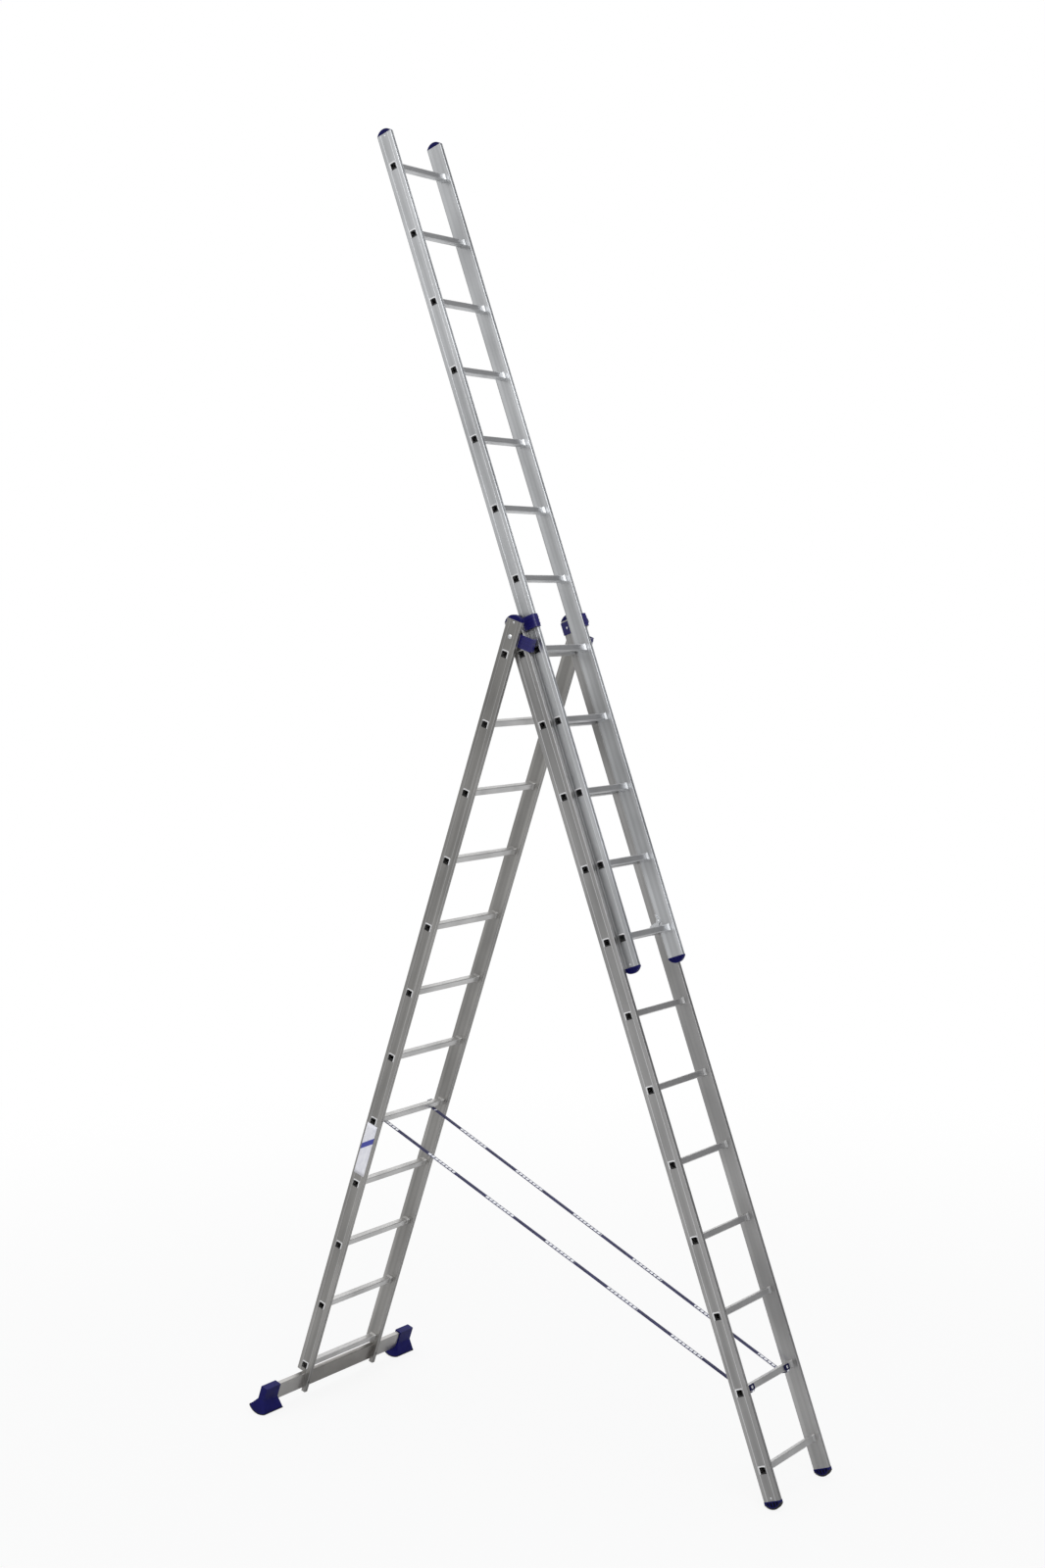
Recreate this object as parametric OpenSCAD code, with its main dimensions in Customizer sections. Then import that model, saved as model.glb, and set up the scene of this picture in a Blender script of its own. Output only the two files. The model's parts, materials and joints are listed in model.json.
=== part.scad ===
// Three-section aluminium ladder, standing open as an A-frame with its top section raised.
// The floor is z = 0, the ladder opens front to back along Y, and X runs across the rungs.
// Each section is drawn upright, with its bottom rung's centre line on the X axis, and then leant.

/* [Ladder] */
// Spacing of the rungs along a stile
pitch = 280; // [260:5:300]
// Rungs in each section
rung_count = 12; // [10:1:13]
// Lean of each leg from upright while the ladder stands open
lean = 19.45; // [18:0.05:20]
// Height of the two bottom rungs above the floor
rung_height = 138; // [136:0.5:142]
// Rungs by which the top section is raised
raised = 7; // [3:1:8]
// Half the outer width of the rear section, which is the widest
rear_half = 229; // [215:1:260]
// Step in half width from each section to the next one inside it
nest_step = 31; // [30:1:34]
// Distance between the planes of neighbouring sections' rungs when folded
stack = 50; // [50:0.5:54]

/* [Stiles] */
// Depth of a stile, front to back
rail_deep = 68; // [66:1:68]
// Thickness of a stile, side to side
rail_thick = 18; // [17:0.5:18]
// Wall of the hollow stile
rail_wall = 1.8; // [1.4:0.1:2.4]
// Stile above the top rung
rail_above = 134; // [128:1:140]
// Stile below the bottom rung
rail_below = 113; // [110:1:113]
// Height of the two ridges along the outer web
ridge_high = 0.8; // [0.4:0.1:0.9]

/* [Rungs] */
// Side of the square rung tube
rung_side = 24; // [22:0.5:24]
// Wall of the rung tube
rung_wall = 1.5; // [1.2:0.1:2]
// Side of the swaged rung end where it seats on the stile
swage_side = 30; // [28:0.5:30]
// Length of the swaged end
swage_long = 12; // [9:0.5:12]
// Thickness of the rolled rim on the outer web
rim_thick = 1.5; // [1:0.1:2]

/* [Fold] */
// Gap between the front stiles and the rear top rung that they turn round
turn_gap = 0.4; // [0.35:0.05:1]
// Height of the rear top rung above the front top rung while the ladder stands open
turn_up = 17.7; // [16:0.1:18]

/* [Guides] */
// Steel thickness of the guide plates
guide_thick = 4; // [3:0.5:4]
// Height of a guide plate
guide_high = 50; // [44:1:54]
// Outer radius of the bend
guide_bend = 8; // [7:0.5:9]
// Distance from a section's rungs to the inside of the lip
guide_reach = 85.5; // [85.5:0.5:87]
// Length of the lip across the next stile
guide_lip = 28; // [25:1:28]

/* [Stabiliser] */
// Half the length of the crossbar
bar_half = 470; // [440:5:470]
// Height of the crossbar
bar_high = 70; // [66:1:70]
// Thickness of the crossbar
bar_thick = 20; // [18:1:20]
// Width of a boot's rocker sole, front to back
boot_wide = 86; // [80:1:90]
// Radius of the rocker sole
boot_radius = 75; // [72:1:80]

/* [Hidden] */

// Colours
bare = "silver";
bright = "gainsboro";
navy = [0.10, 0.11, 0.42];
black = [0.08, 0.08, 0.09];

// Widths of the three sections
front_half = rear_half - nest_step;
top_half = front_half - nest_step;

// Heights along a stile, measured from the bottom rung
top_rung = (rung_count - 1) * pitch;
rail_top = top_rung + rail_above;
slide_up = raised * pitch;

// Stile profile
rail_round = 2.5;
ridge_y = 17.5;
ridge_wide = 2.4;
groove_wide = 2.4;
groove_deep = 0.8;
groove_at = 4.2;

// Rung profile
rung_round = 3;
swage_round = 3.5;
rung_corner = (rung_side / 2 - rung_round) * sqrt(2) + rung_round;
swage_corner = (swage_side / 2 - swage_round) * sqrt(2) + swage_round;
rung_bore = rung_side - 2 * rung_wall;
seat_gap = 0.05;
tread_ribs = [-8, -3, 3, 8];
tread_cut = 0.5;

// The legs turn about the centre line of the rear top rung, which the front stiles bear on
turn_back = rail_deep / 2 + rung_corner + turn_gap;
turn_level = top_rung + turn_up;
pivot_z = rung_height + top_rung * cos(lean);

// Caps and rivets
cap_rise = 18.7;
cap_radius = (rail_deep * rail_deep / 4 + cap_rise * cap_rise) / (2 * cap_rise);
cap_soft = 2;
plug_long = 22;
plug_gap = 0.15;
rivet_d = 4;
rivet_head = 8;
rivet_in = 10;

// Guides
rear_guide_up = 38;
front_guide_up = 78;
bead_high = 6;
bead_proud = 1.2;
guide_bolt_up = 68;
bolt_d = 8;
bolt_head = 18;

// Crossbar, in the rear section's own frame
bar_front = -15;
bar_top = -32;
bar_wall = 2;
bar_mid_y = bar_front + bar_thick / 2;
bar_mid_z = bar_top - bar_high / 2;

// Boots and feet touch the floor on a rocker, whose centre is this far below the bottom rung
boot_wall = 5;
sole_thick = 4;
boot_top_inner = 392;
boot_top_outer = 477;
boot_flare_in = 24;
boot_flare_out = 12;
boot_mid_z = (boot_radius - rung_height - bar_mid_y * sin(lean)) / cos(lean);
foot_radius = 41;
foot_mid_z = (foot_radius - rung_height) / cos(lean);
foot_rim = 9;
tread_thick = 6.5;
tread_groove = 2.2;
lower_rim = 6;
pocket_in = 4;
pocket_wide = 9;
pocket_rib = 4;
pocket_deep = 2.5;

// Latch hooks on the top section's bottom rung
latch_thick = 4;
latch_gap = 0.4;
latch_pin_d = 6;
pin_gap = 0.05;
latch_y = 26;
latch_z = 34;
latch_boss = 9;
latch_finger = 27;
latch_finger_wide = 7;
latch_finger_lean = 10;
latch_inset = 0.4;

// Restraint straps, which turn round a rung's lower rear corner and end under a riveted clip
strap_wide = 20;
strap_thick = 2;
strap_rear_x = 153;
strap_front_x = 132;
strap_rear_rung = 4;
strap_front_rung = 1;
strap_tab = 9;
strap_stub = 12;
strap_break = 1;
strap_tuck = 0.8;
turn_at = rung_side / 2 - rung_round;
turn_in = rung_round + seat_gap;
turn_out = turn_in + strap_thick;
clip_wide = 32;
clip_high = 22;
clip_thick = 2.5;
clip_round = 4;
clip_head = 12;

// Centres the floor box of the whole ladder on the origin
rear_reach = (bar_mid_y + boot_wide / 2) * cos(lean)
    + (top_rung - boot_mid_z + sqrt(boot_radius * boot_radius - boot_wide * boot_wide / 4)) * sin(lean);
front_reach = (turn_back + rail_deep / 2) * cos(lean)
    + (turn_level - foot_mid_z + sqrt(foot_radius * foot_radius - rail_deep * rail_deep / 4)) * sin(lean);
centre_y = (front_reach - rear_reach) / 2;

// World Y and Z of a point given in a section's own frame
function rear_point(y, z) = [
    centre_y + y * cos(lean) - (z - top_rung) * sin(lean),
    pivot_z + y * sin(lean) + (z - top_rung) * cos(lean)];
function front_point(y, z) = [
    centre_y + (y - turn_back) * cos(lean) + (z - turn_level) * sin(lean),
    pivot_z - (y - turn_back) * sin(lean) + (z - turn_level) * cos(lean)];

// Places a section drawn upright into its leaning position
module in_rear() {
    translate([0, centre_y, pivot_z]) rotate([lean, 0, 0]) translate([0, 0, -top_rung]) children();
}
module in_front() {
    translate([0, centre_y, pivot_z]) rotate([-lean, 0, 0]) translate([0, -turn_back, -turn_level]) children();
}
module in_top() {
    in_front() translate([0, -stack, slide_up]) children();
}

// Side 1 is the right, +X; side -1 is its mirror image
module on_side(side) {
    if (side > 0) children();
    else mirror([1, 0, 0]) children();
}
module both_sides() {
    children();
    mirror([1, 0, 0]) children();
}

// Draws a flat outline in the Y-Z plane and extrudes it along +X
module along_x(long) {
    rotate([90, 0, 90]) linear_extrude(long) children();
}

module round_square(wide, deep, r) {
    square([wide - 2 * r, deep], center = true);
    square([wide, deep - 2 * r], center = true);
    for (x = [-1, 1], y = [-1, 1])
        translate([x * (wide / 2 - r), y * (deep / 2 - r)]) circle(r, $fn = 32);
}

// Stile section, with its outer web towards +X
module rail_outline() {
    difference() {
        union() {
            round_square(rail_thick, rail_deep, rail_round);
            for (y = [-ridge_y, ridge_y])
                translate([rail_thick / 2 - 1, y - ridge_wide / 2]) square([1 + ridge_high, ridge_wide]);
        }
        round_square(rail_thick - 2 * rail_wall, rail_deep - 2 * rail_wall, 1);
        for (x = [-groove_at, groove_at])
            translate([x - groove_wide / 2, -rail_deep / 2 - 1]) square([groove_wide, 1 + groove_deep]);
    }
}

// Right-hand stile of a section, with the square rung holes through both webs
module rail(half) {
    difference() {
        translate([half - rail_thick / 2, 0, -rail_below])
            linear_extrude(rail_top + rail_below) rail_outline();
        for (k = [0 : rung_count - 1])
            translate([half - rail_thick - 1, 0, k * pitch])
                along_x(rail_thick + 3) round_square(rung_side + 2 * seat_gap, rung_side + 2 * seat_gap, rung_round);
        translate([half, 0, rail_top - rivet_in]) rivet_hole();
    }
}

module rivet_hole() {
    translate([-rail_thick - 2, 0, 0]) rotate([0, 90, 0]) cylinder(h = rail_thick + 4, d = rivet_d, $fn = 32);
}

// Square tube end widening along +X, with rounded corners
module swage() {
    side = [[0, -rung_side / 2], [swage_long, -swage_side / 2], [swage_long, swage_side / 2], [0, rung_side / 2]];
    intersection() {
        translate([0, 0, -swage_side / 2]) linear_extrude(swage_side) polygon(side);
        translate([0, swage_side / 2, 0]) rotate([90, 0, 0]) linear_extrude(swage_side) polygon(side);
        rotate([0, 90, 0]) cylinder(h = swage_long, r1 = rung_corner, r2 = swage_corner, $fn = 64);
    }
}

// Rung tube with ribbed treads, swaged ends inside the stiles and rolled rims outside them
module rung(half) {
    inside = half - rail_thick;
    difference() {
        union() {
            translate([-half, 0, 0]) along_x(2 * half) round_square(rung_side, rung_side, rung_round);
            both_sides() {
                translate([inside - swage_long, 0, 0]) swage();
                translate([half, 0, 0]) along_x(rim_thick) round_square(swage_side, swage_side, swage_round);
            }
        }
        translate([-half - rim_thick - 1, 0, 0])
            along_x(2 * (half + rim_thick + 1)) round_square(rung_bore, rung_bore, rung_round - rung_wall);
        for (y = tread_ribs, z = [-1, 1])
            translate([0, y, z * rung_side / 2])
                cube([2 * (inside - swage_long), 1.6, 2 * tread_cut], center = true);
    }
}

module rungs(half) {
    for (k = [0 : rung_count - 1]) translate([0, 0, k * pitch]) rung(half);
}

// Half-moon stile cap with a soft rim, and the plug that holds it in the hollow stile
module moon_cap(half) {
    mid = half - rail_thick / 2;
    flat = rail_thick / 2 - cap_soft;
    difference() {
        union() {
            intersection() {
                translate([mid, 0, cap_rise - cap_radius]) rotate([0, 90, 0]) rotate_extrude($fn = 96) {
                    translate([0, -flat]) square([cap_radius, 2 * flat]);
                    translate([0, -rail_thick / 2]) square([cap_radius - cap_soft, rail_thick]);
                    for (x = [-flat, flat]) translate([cap_radius - cap_soft, x]) circle(cap_soft, $fn = 32);
                }
                translate([mid, 0, cap_radius]) cube([rail_thick, 2 * cap_radius, 2 * cap_radius], center = true);
            }
            translate([mid, 0, 1 - plug_long]) linear_extrude(plug_long)
                square([rail_thick - 2 * (rail_wall + plug_gap), rail_deep - 2 * (rail_wall + plug_gap) - 2], center = true);
        }
    }
}

// Cap over a stile's upper end, drilled for its rivet
module upper_cap(half) {
    translate([0, 0, rail_top]) difference() {
        moon_cap(half);
        translate([half, 0, -rivet_in]) rivet_hole();
    }
}

// Blind rivet through the outer web and the plug behind it
module cap_rivet(half, z) {
    translate([half, 0, z]) rotate([0, 90, 0]) {
        translate([0, 0, -rail_thick + rail_wall]) cylinder(h = rail_thick - rail_wall, d = rivet_d, $fn = 32);
        rivet_dome(rivet_head, 1.6);
    }
}

// Domed head standing on the plane z = 0
module rivet_dome(d, high) {
    r = (d * d / 4 + high * high) / (2 * high);
    intersection() {
        translate([0, 0, high - r]) sphere(r, $fn = 48);
        cylinder(h = high + 1, d = d + 1, $fn = 32);
    }
}

// Bent guide plate seen from above: flat on the stile's inner face, then round to the lip
module guide_outline(face_x, back_y, thick, proud) {
    lip_y = -guide_reach - guide_thick;
    centre_x = face_x - guide_bend;
    centre_y = lip_y + guide_bend;
    translate([face_x - thick, centre_y]) square([thick + proud, back_y - centre_y]);
    translate([face_x - guide_lip, lip_y - proud]) square([guide_lip - guide_bend, thick + proud]);
    translate([centre_x, centre_y]) intersection() {
        difference() {
            circle(guide_bend + proud, $fn = 48);
            circle(guide_bend - thick, $fn = 48);
        }
        translate([0, -guide_bend - proud]) square([guide_bend + proud, guide_bend + proud]);
    }
}

// Pressed guide with three beads round its bend
module guide(face_x, back_y, up) {
    translate([0, 0, top_rung + up]) {
        linear_extrude(guide_high) guide_outline(face_x, back_y, guide_thick, 0);
        for (k = [1 : 3])
            translate([0, 0, k * guide_high / 4 - bead_high / 2])
                linear_extrude(bead_high) guide_outline(face_x, -rail_deep / 2 - 4, guide_thick / 2, bead_proud);
    }
}

// --- rear section ---

module rear_stile(side) {
    color(bare) in_rear() on_side(side) difference() {
        rail(rear_half);
        // The back of the stile stops on the crossbar, and its front runs on as a tongue
        translate([rear_half - rail_thick - 1, bar_front, -rail_below - 1])
            cube([rail_thick + 3, rail_deep, rail_below + 1 + bar_top]);
        translate([rear_half, 0, top_rung + guide_bolt_up]) cross_hole(bolt_d);
        translate([rear_half - rail_thick / 2, bar_front, bar_mid_z]) rotate([90, 0, 0])
            cylinder(h = rail_deep, d = bolt_d, center = true, $fn = 48);
    }
}

module cross_hole(d) {
    translate([-rail_thick - 5, 0, 0]) rotate([0, 90, 0]) cylinder(h = rail_thick + 10, d = d, $fn = 48);
}

module rear_rungs() {
    color(bright) in_rear() difference() {
        rungs(rear_half);
        both_sides() strap_hole(strap_rear_x, strap_rear_rung, 1);
    }
}

module rear_caps() {
    color(navy) in_rear() both_sides() upper_cap(rear_half);
}

module rear_cap_rivets() {
    color(bright) in_rear() both_sides() cap_rivet(rear_half, rail_top - rivet_in);
}

module stabiliser_bar() {
    color(bare) in_rear() difference() {
        translate([-bar_half, bar_mid_y, bar_mid_z]) along_x(2 * bar_half) difference() {
            round_square(bar_thick, bar_high, 2);
            round_square(bar_thick - 2 * bar_wall, bar_high - 2 * bar_wall, 1);
        }
        both_sides() translate([rear_half - rail_thick / 2, bar_mid_y, bar_mid_z]) rotate([90, 0, 0])
            cylinder(h = 2 * bar_thick, d = bolt_d, center = true, $fn = 48);
    }
}

// Boot side view: a collar round the bar that spreads into the rocker
module boot_side() {
    collar = bar_thick / 2 + boot_wall;
    waist = bar_top - 0.72 * bar_high;
    hem = boot_mid_z - sqrt(boot_radius * boot_radius - boot_wide * boot_wide / 4);
    intersection() {
        polygon([[-collar, bar_top + boot_wall], [collar, bar_top + boot_wall], [collar, waist],
            [boot_wide / 2, hem], [boot_wide / 2, hem - boot_radius], [-boot_wide / 2, hem - boot_radius],
            [-boot_wide / 2, hem], [-collar, waist]]);
        union() {
            translate([0, boot_mid_z]) circle(boot_radius - sole_thick, $fn = 128);
            translate([-boot_wide / 2, boot_mid_z - boot_wide / 4]) square([boot_wide, 2 * boot_wide]);
        }
    }
}

// Boot front view, which spreads at both ends of the rocker
module boot_front() {
    waist = bar_top - 0.72 * bar_high;
    low = boot_mid_z - boot_radius - 1;
    polygon([[boot_top_inner, bar_top + boot_wall], [boot_top_outer, bar_top + boot_wall], [boot_top_outer, waist],
        [boot_top_outer + boot_flare_out, low], [boot_top_inner - boot_flare_in, low], [boot_top_inner, waist]]);
}

module boot_block() {
    translate([0, bar_mid_y + boot_wide, 0]) rotate([90, 0, 0]) linear_extrude(2 * boot_wide) boot_front();
}

module boots() {
    color(navy) in_rear() both_sides() difference() {
        intersection() {
            boot_block();
            translate([boot_top_inner - boot_flare_in - 1, bar_mid_y, 0]) along_x(160) boot_side();
        }
        translate([0, bar_mid_y, bar_mid_z]) along_x(bar_half + 0.2) round_square(bar_thick, bar_high, 2);
    }
}

module boot_soles() {
    color(black) in_rear() both_sides() intersection() {
        boot_block();
        translate([boot_top_inner - boot_flare_in - 1, bar_mid_y, 0]) along_x(160) intersection() {
            translate([0, boot_mid_z]) difference() {
                circle(boot_radius, $fn = 128);
                circle(boot_radius - sole_thick, $fn = 128);
            }
            translate([-boot_wide / 2, boot_mid_z - boot_radius - 1]) square([boot_wide, boot_radius - boot_wide / 4]);
        }
    }
}

// Bolt through the bar from behind, with its nut in the tongue
module bar_bolts() {
    long = bar_thick + 8;
    color(bright) in_rear() both_sides()
        translate([rear_half - rail_thick / 2, bar_front + bar_thick, bar_mid_z]) rotate([90, 0, 0]) {
            cylinder(h = long, d = bolt_d, $fn = 48);
            mirror([0, 0, 1]) rivet_dome(15, 5);
            translate([0, 0, bar_thick]) cylinder(h = 6, d = 13, $fn = 6);
        }
}

module rear_guide(side) {
    color(navy) in_rear() on_side(side) difference() {
        guide(rear_half - rail_thick, 16, rear_guide_up);
        translate([rear_half - rail_thick, 0, top_rung + guide_bolt_up]) cross_hole(bolt_d);
    }
}

// Bolt through the rear stile that holds the guide
module rear_guide_bolts() {
    color(bright) in_rear() both_sides()
        translate([rear_half, 0, top_rung + guide_bolt_up]) rotate([0, 90, 0]) {
            translate([0, 0, -rail_thick - guide_thick - 5]) cylinder(h = rail_thick + guide_thick + 5, d = bolt_d, $fn = 48);
            rivet_dome(bolt_head, 5);
        }
}

module rear_guide_nuts() {
    color(bright) in_rear() both_sides()
        translate([rear_half - rail_thick - guide_thick - 5, 0, top_rung + guide_bolt_up]) rotate([0, 90, 0]) difference() {
            cylinder(h = 5, d = 15, $fn = 6);
            translate([0, 0, -1]) cylinder(h = 7, d = bolt_d, $fn = 48);
        }
}

// --- restraint straps ---

// Run from a front rung's lower rear corner to the same corner of a rear rung
run_from = front_point(turn_at, strap_front_rung * pitch - turn_at);
run_to = rear_point(turn_at, strap_rear_rung * pitch - turn_at);
run_rise = atan2(run_to[1] - run_from[1], run_to[0] - run_from[0]);
run_flat = norm(run_to - run_from);
run_x = strap_rear_x - strap_front_x;
run_long = sqrt(run_flat * run_flat + run_x * run_x);

// Webbing wrapped round a rung, seen from the side
module strap_wrap() {
    inner = rung_side + 2 * seat_gap;
    difference() {
        round_square(inner + 2 * strap_thick, inner + 2 * strap_thick, turn_out);
        round_square(inner, inner, turn_in);
    }
}

// Taut run, then round the rear rung's corner and up its back under the clip
module strap(side) {
    on_side(side) color(navy) difference() {
        union() {
            translate([strap_front_x, run_from[0], run_from[1]]) rotate([run_rise, 0, 0])
                rotate([0, 0, -atan2(run_x, run_flat)])
                    translate([-strap_wide / 2, strap_stub + strap_break, 0.1 - turn_out])
                        cube([strap_wide, run_long + strap_tuck - strap_stub - strap_break, strap_thick - 0.2]);
            in_rear() translate([strap_rear_x - strap_wide / 2, 0, strap_rear_rung * pitch])
                along_x(strap_wide) intersection() {
                    strap_wrap();
                    translate([turn_at, -rung_side]) square([rung_side, rung_side + strap_tab]);
                }
        }
        in_rear() strap_hole(strap_rear_x, strap_rear_rung, 1);
    }
}

// End of each strap from its run, under the front rung and up its face under the clip
module strap_ends() {
    leave = run_rise + lean;
    color(navy) in_front() both_sides() difference() {
        translate([strap_front_x - strap_wide / 2, 0, strap_front_rung * pitch]) along_x(strap_wide) {
            difference() {
                strap_wrap();
                translate([-rung_side, strap_tab]) square([2 * rung_side, rung_side]);
                translate([turn_at, -turn_at]) rotate(leave) translate([0, -rung_side]) square(3 * rung_side);
            }
            translate([turn_at, -turn_at]) rotate(leave)
                translate([-strap_tuck, 0.1 - turn_out]) square([strap_tuck + strap_stub, strap_thick - 0.2]);
        }
        strap_hole(strap_front_x, strap_front_rung, -1);
    }
}

// Hole for a clip's rivet through one wall of a rung: face 1 is its rear, -1 its front
module strap_hole(x, k, face) {
    translate([x, face * (rung_side / 2 - rung_wall - 1), k * pitch]) rotate([-90 * face, 0, 0])
        cylinder(h = rung_wall + strap_thick + clip_thick + 3, d = rivet_d, $fn = 32);
}

// Moulded clip bridging the strap's end, standing on the rung's face
module strap_clip(x, k, face) {
    translate([x, face * (rung_side / 2 + seat_gap), k * pitch]) rotate([-90 * face, 0, 0]) difference() {
        linear_extrude(strap_thick + clip_thick) round_square(clip_wide, clip_high, clip_round);
        translate([0, 0, strap_thick / 2])
            cube([strap_wide + 1, clip_high + 2, strap_thick + 0.1], center = true);
        translate([0, 0, -1]) cylinder(h = strap_thick + clip_thick + 2, d = rivet_d, $fn = 32);
    }
}

module strap_rivet(x, k, face) {
    translate([x, face * (rung_side / 2 + seat_gap + strap_thick + clip_thick), k * pitch]) rotate([-90 * face, 0, 0]) {
        translate([0, 0, -rung_wall - strap_thick - clip_thick - 2])
            cylinder(h = rung_wall + strap_thick + clip_thick + 2, d = rivet_d, $fn = 32);
        rivet_dome(clip_head, 2);
    }
}

module rear_strap_clips() {
    color(navy) in_rear() both_sides() strap_clip(strap_rear_x, strap_rear_rung, 1);
}

module rear_strap_rivets() {
    color(bright) in_rear() both_sides() strap_rivet(strap_rear_x, strap_rear_rung, 1);
}

module front_strap_clips() {
    color(navy) in_front() both_sides() strap_clip(strap_front_x, strap_front_rung, -1);
}

module front_strap_rivets() {
    color(bright) in_front() both_sides() strap_rivet(strap_front_x, strap_front_rung, -1);
}

// --- front section ---

module front_stile(side) {
    color(bare) in_front() on_side(side) difference() {
        rail(front_half);
        translate([front_half, 0, -rail_below + rivet_in]) rivet_hole();
        for (y = [-12, 12]) translate([front_half - rail_thick, y, top_rung + front_guide_up + guide_high / 2])
            rotate([0, 90, 0]) cylinder(h = 4 * rail_wall, d = rivet_d, center = true, $fn = 32);
    }
}

module front_rungs() {
    color(bright) in_front() difference() {
        rungs(front_half);
        both_sides() strap_hole(strap_front_x, strap_front_rung, -1);
    }
}

module front_caps() {
    color(navy) in_front() both_sides() upper_cap(front_half);
}

module front_cap_rivets() {
    color(bright) in_front() both_sides() cap_rivet(front_half, rail_top - rivet_in);
}

// Four pockets between the ribs of a moulded end, seen on both faces of the stile
module pockets(half, low) {
    step = pocket_wide + pocket_rib;
    for (x = [half - rail_thick, half], k = [-1.5 : 1.5])
        translate([x, k * step, low / 2]) cube([2 * pocket_deep, pocket_wide, abs(low)], center = true);
}

// Half-moon foot: a rim under the stile, a ribbed body inside the tread and a plug up the stile
module front_feet() {
    mid = front_half - rail_thick / 2;
    inner = foot_radius - tread_thick;
    color(navy) in_front() both_sides() difference() {
        union() {
            translate([front_half - rail_thick, 0, 0]) along_x(rail_thick) {
                translate([-rail_deep / 2, -rail_below - foot_rim]) square([rail_deep, foot_rim]);
                intersection() {
                    translate([-inner, foot_mid_z - inner]) square([2 * inner, -rail_below - 1 - foot_mid_z + inner]);
                    translate([0, foot_mid_z]) circle(inner, $fn = 96);
                }
            }
            translate([mid, 0, -rail_below - 1]) linear_extrude(plug_long)
                square([rail_thick - 2 * (rail_wall + plug_gap), rail_deep - 2 * (rail_wall + plug_gap) - 2], center = true);
        }
        intersection() {
            translate([0, 0, -rail_below - pocket_in]) pockets(front_half, -foot_radius);
            translate([front_half - rail_thick - 5, 0, foot_mid_z]) rotate([0, 90, 0])
                cylinder(h = rail_thick + 10, r = inner - 3, $fn = 96);
        }
        translate([front_half, 0, -rail_below + rivet_in]) rivet_hole();
    }
}

// Arched rubber tread with cross grooves, running round the foot from rim to rim
module foot_treads() {
    color(black) in_front() both_sides()
        translate([front_half - rail_thick, 0, 0]) along_x(rail_thick) intersection() {
            translate([-rail_deep / 2, foot_mid_z - foot_radius - 1])
                square([rail_deep, foot_radius + 1 - foot_mid_z - rail_below - foot_rim]);
            translate([0, foot_mid_z]) difference() {
                circle(foot_radius, $fn = 128);
                circle(foot_radius - tread_thick, $fn = 96);
                for (a = [-50 : 10 : 50]) rotate(a)
                    translate([-tread_groove / 2, -foot_radius - 1]) square([tread_groove, 1 + tread_groove]);
            }
        }
}

module foot_rivets() {
    color(bright) in_front() both_sides() cap_rivet(front_half, -rail_below + rivet_in);
}

module front_guide(side) {
    color(navy) in_front() on_side(side) difference() {
        guide(front_half - rail_thick, rail_deep / 2, front_guide_up);
        for (y = [-12, 12]) translate([front_half - rail_thick, y, top_rung + front_guide_up + guide_high / 2])
            cross_hole(rivet_d);
    }
}

module front_guide_rivets() {
    color(bright) in_front() both_sides() for (y = [-12, 12])
        translate([front_half - rail_thick - guide_thick, y, top_rung + front_guide_up + guide_high / 2]) rotate([0, 90, 0]) {
            cylinder(h = guide_thick + rail_wall + 2, d = rivet_d, $fn = 32);
            mirror([0, 0, 1]) rivet_dome(rivet_head, 2);
        }
}

// --- top section ---

module top_stile(side) {
    color(bare) in_top() on_side(side) difference() {
        rail(top_half);
        translate([top_half, 0, -rail_below + rivet_in]) rivet_hole();
        translate([top_half - rail_thick, latch_y, latch_z]) rotate([0, 90, 0])
            cylinder(h = 4 * rail_wall, d = latch_pin_d, center = true, $fn = 48);
    }
}

module top_rungs() {
    color(bright) in_top() rungs(top_half);
}

module top_upper_caps() {
    color(navy) in_top() both_sides() upper_cap(top_half);
}

// Lower cap: the same half-moon turned over below a straight rim, with pockets between ribs
module top_lower_caps() {
    mid = top_half - rail_thick / 2;
    color(navy) in_top() both_sides() translate([0, 0, -rail_below - lower_rim]) difference() {
        union() {
            mirror([0, 0, 1]) moon_cap(top_half);
            translate([mid, 0, lower_rim / 2]) cube([rail_thick, rail_deep, lower_rim], center = true);
        }
        intersection() {
            pockets(top_half, -cap_rise);
            translate([top_half - rail_thick - 5, 0, cap_radius - cap_rise]) rotate([0, 90, 0])
                cylinder(h = rail_thick + 10, r = cap_radius - cap_soft - 3, $fn = 96);
        }
        translate([top_half, 0, lower_rim + rivet_in]) rivet_hole();
    }
}

module top_cap_rivets() {
    color(bright) in_top() both_sides() for (z = [rail_top - rivet_in, -rail_below + rivet_in]) cap_rivet(top_half, z);
}

module latch_pins() {
    head = latch_thick + 2 * latch_gap;
    color(bright) in_top() both_sides() translate([top_half - rail_thick, latch_y, latch_z]) rotate([0, 90, 0]) {
        translate([0, 0, -head]) cylinder(h = head + 2 * rail_wall, d = latch_pin_d, $fn = 48);
        translate([0, 0, -head]) mirror([0, 0, 1]) rivet_dome(11, 2.5);
    }
}

// Arm of a hook seen from the side, over the rung of the section behind and down its back
module latch_arm() {
    seat = rung_side / 2 + 0.3;
    back = stack + rung_side / 2 + 0.5;
    nose = 8.5;
    polygon([[latch_y, latch_z - 1], [back + 2, seat + 13], [back + 6, seat + 9], [back + nose, seat + 4],
        [back + nose, -9], [back + 6, -13], [back + 2.5, -13], [back, -9],
        [back, seat], [latch_y + 6, seat], [latch_y - 4, latch_z - 6]]);
}

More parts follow.
